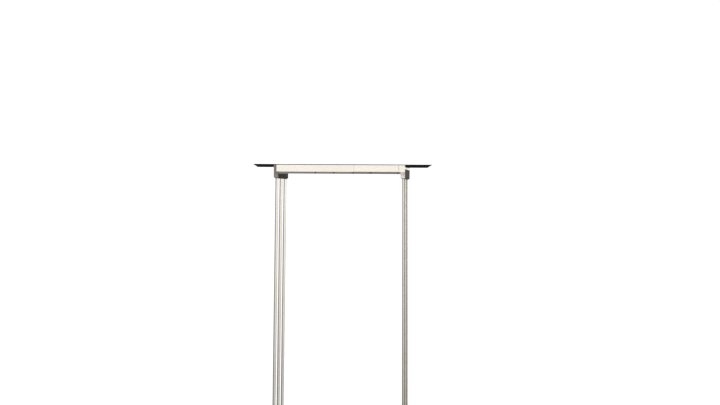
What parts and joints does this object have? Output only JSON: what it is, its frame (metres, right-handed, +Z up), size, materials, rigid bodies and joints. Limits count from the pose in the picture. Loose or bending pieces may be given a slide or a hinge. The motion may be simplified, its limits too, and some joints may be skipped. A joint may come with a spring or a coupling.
{
  "type": "valet stand",
  "caption": "Tall open garment stand: flat-bar uprights carry a shallow tray beam with a slim drawer, under a black hanger rail that overhangs both sides.",
  "frame": {"origin": "on the floor, under the middle of the stand (centre of the bottom of its bounding box)", "axes": "+Z up, +X to the right along the top rail, -Y the side that the drawer opens towards"},
  "size_m": [0.666, 0.32, 1.1],
  "materials": {
    "black_rail": "satin black powder coat",
    "cream_enamel": "smooth satin cream enamel",
    "champagne_metal": "brushed champagne anodised",
    "dark_moulding": "fine-grained dark grey moulding",
    "grey_sheet": "mill-finish grey sheet",
    "plain_aluminium": "plain extruded",
    "dark_rubber": "matt",
    "steel_fastener": "zinc plated",
    "drawer_moulding": "fine-grained moulding",
    "felt_liner": "short-pile felt",
    "brass_bush": "turned",
    "foot_pad": "satin moulding"
  },
  "bodies": {
    "stand": {"bay_divider": "plain_aluminium", "bay_end_wall": "plain_aluminium", "drawer_bumpers": "dark_rubber", "fascia_end_cap": "cream_enamel", "front_channel": "plain_aluminium", "front_fascia": "cream_enamel", "front_stretcher": "champagne_metal", "left_collars": "dark_rubber", "left_end_block": "dark_moulding", "left_foot_rail": "champagne_metal", "left_front_cap": "champagne_metal", "left_front_insert": "brass_bush", "left_front_upright": "champagne_metal", "left_middle_upright": "champagne_metal", "left_rear_cap": "champagne_metal", "left_rear_insert": "brass_bush", "left_rear_upright": "champagne_metal", "left_runner": "plain_aluminium", "left_saddle_strip": "cream_enamel", "left_stretcher_screws": "steel_fastener", "lip_rivets": "dark_rubber", "rail_screws": "steel_fastener", "rear_channel": "plain_aluminium", "rear_fascia": "cream_enamel", "rear_stretcher": "champagne_metal", "right_collars": "dark_rubber", "right_end_block": "dark_moulding", "right_foot_rail": "champagne_metal", "right_front_cap": "champagne_metal", "right_front_insert": "brass_bush", "right_front_upright": "champagne_metal", "right_middle_upright": "champagne_metal", "right_rear_cap": "champagne_metal", "right_rear_insert": "brass_bush", "right_rear_upright": "champagne_metal", "right_runner": "plain_aluminium", "right_saddle_strip": "cream_enamel", "right_stretcher_screws": "steel_fastener", "top_rail": "black_rail", "tray_floor": "cream_enamel", "underside_panel": "grey_sheet"},
    "drawer": {"drawer_front": "cream_enamel", "drawer_tray": "drawer_moulding", "drawer_liner": "felt_liner", "drawer_screws": "steel_fastener"},
    "left_front_foot": {"left_front_foot": "foot_pad"},
    "left_rear_foot": {"left_rear_foot": "foot_pad"},
    "right_front_foot": {"right_front_foot": "foot_pad"},
    "right_rear_foot": {"right_rear_foot": "foot_pad"}
  },
  "joints": [
    {"name": "drawer_slide", "type": "slide", "parent": "stand", "child": "drawer", "axis": [0, -1, 0], "range_m": [0, 0.13]},
    {"name": "left_front_foot_turn", "type": "hinge", "parent": "stand", "child": "left_front_foot", "pos_m": [-0.23819, -0.144, 0.02], "axis": [0, 0, 1], "continuous": true},
    {"name": "left_rear_foot_turn", "type": "hinge", "parent": "stand", "child": "left_rear_foot", "pos_m": [-0.23819, 0.144, 0.02], "axis": [0, 0, 1], "continuous": true},
    {"name": "right_front_foot_turn", "type": "hinge", "parent": "stand", "child": "right_front_foot", "pos_m": [0.23819, -0.144, 0.02], "axis": [0, 0, 1], "continuous": true},
    {"name": "right_rear_foot_turn", "type": "hinge", "parent": "stand", "child": "right_rear_foot", "pos_m": [0.23819, 0.144, 0.02], "axis": [0, 0, 1], "continuous": true}
  ]
}
